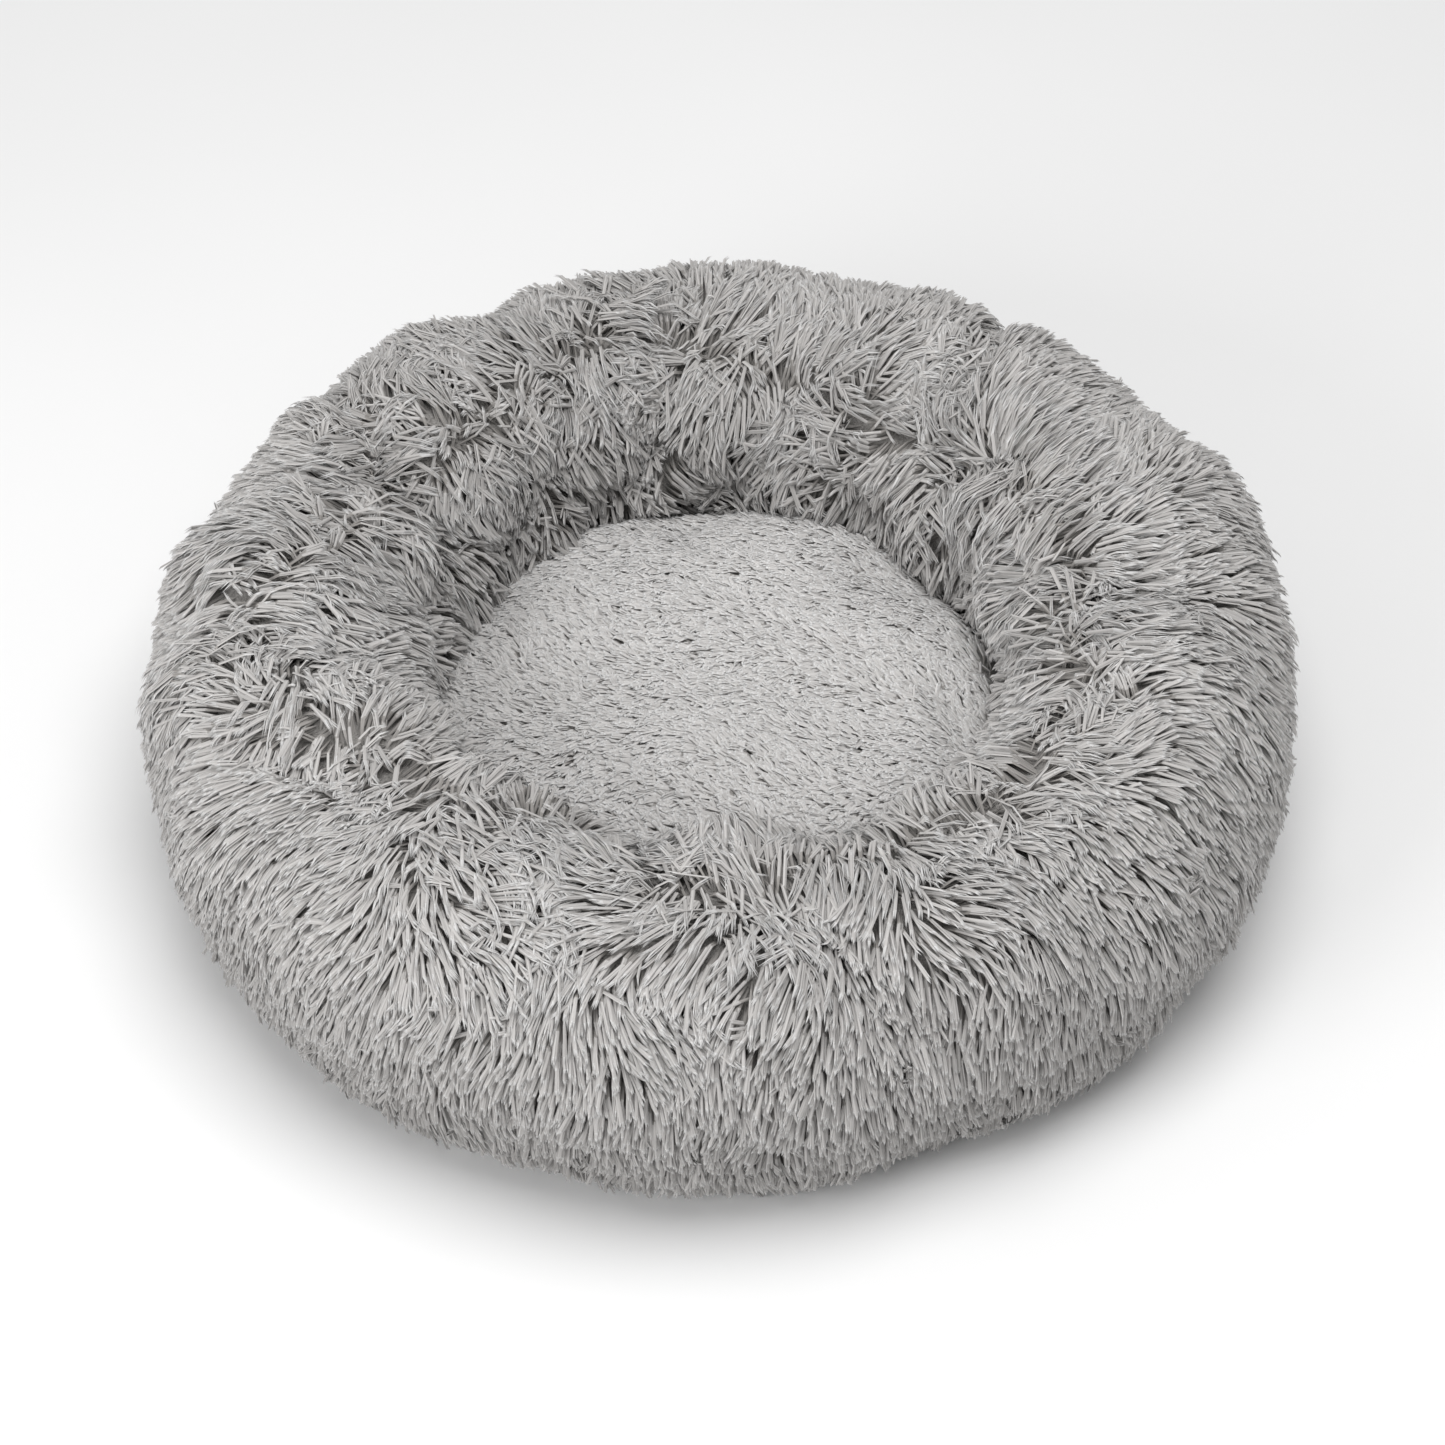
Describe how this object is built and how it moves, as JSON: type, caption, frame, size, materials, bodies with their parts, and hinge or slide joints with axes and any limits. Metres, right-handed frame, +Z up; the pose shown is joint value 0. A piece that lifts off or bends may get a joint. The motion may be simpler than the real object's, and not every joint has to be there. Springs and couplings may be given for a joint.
{
  "type": "pet cushion bed",
  "caption": "Round pet bed with a raised long-pile plush rim around a padded sunken floor, with a zipped removable cover and a non-slip woven base.",
  "frame": {"origin": "on the floor under the centre of the bed", "axes": "+Z up, front towards -Y, the zip across the underside runs along X"},
  "size_m": [0.5999, 0.6, 0.176],
  "materials": {
    "plush_rim": "long-pile plush, soft light grey, matt sheen",
    "plush_floor": "plush combed flat, soft light grey, matt sheen",
    "base_cloth": "woven oxford with small non-slip dots",
    "liner_cloth": "non-woven, matt",
    "fibre_fill": "hollow-fibre wadding",
    "zip_tape": "woven zip tape",
    "zip_coil": "nylon coil",
    "zip_metal": "painted die-cast zinc, satin",
    "zip_stop": "crimped",
    "thread": "sewing thread",
    "label": "blank satin label"
  },
  "bodies": {
    "bed": {"rim_cover": "plush_rim", "cushion_cover": "plush_floor", "base_panel_front": "base_cloth", "base_panel_rear": "base_cloth", "base_seam_thread": "thread", "floor_seam_thread": "thread", "rim_liner": "liner_cloth", "rim_fill": "fibre_fill", "pad_liner": "liner_cloth", "pad_fill": "fibre_fill", "care_label": "label", "zip_tape_front": "zip_tape", "zip_tape_rear": "zip_tape", "zip_coil_front": "zip_coil", "zip_coil_rear": "zip_coil", "zip_top_stop_front": "zip_stop", "zip_top_stop_rear": "zip_stop", "zip_bottom_stop": "zip_stop", "zip_thread_front": "thread", "zip_thread_rear": "thread"},
    "zip_slider": {"zip_slider": "zip_metal"},
    "zip_pull": {"zip_pull": "zip_metal"}
  },
  "joints": [
    {"name": "zip_slide", "type": "slide", "parent": "bed", "child": "zip_slider", "axis": [-1, 0, 0], "range_m": [0, 0.339]},
    {"name": "pull_hinge", "type": "hinge", "parent": "zip_slider", "child": "zip_pull", "pos_m": [0.1722, -0.07, 0.0018], "axis": [0, -1, 0], "range_deg": [0, 170]}
  ]
}
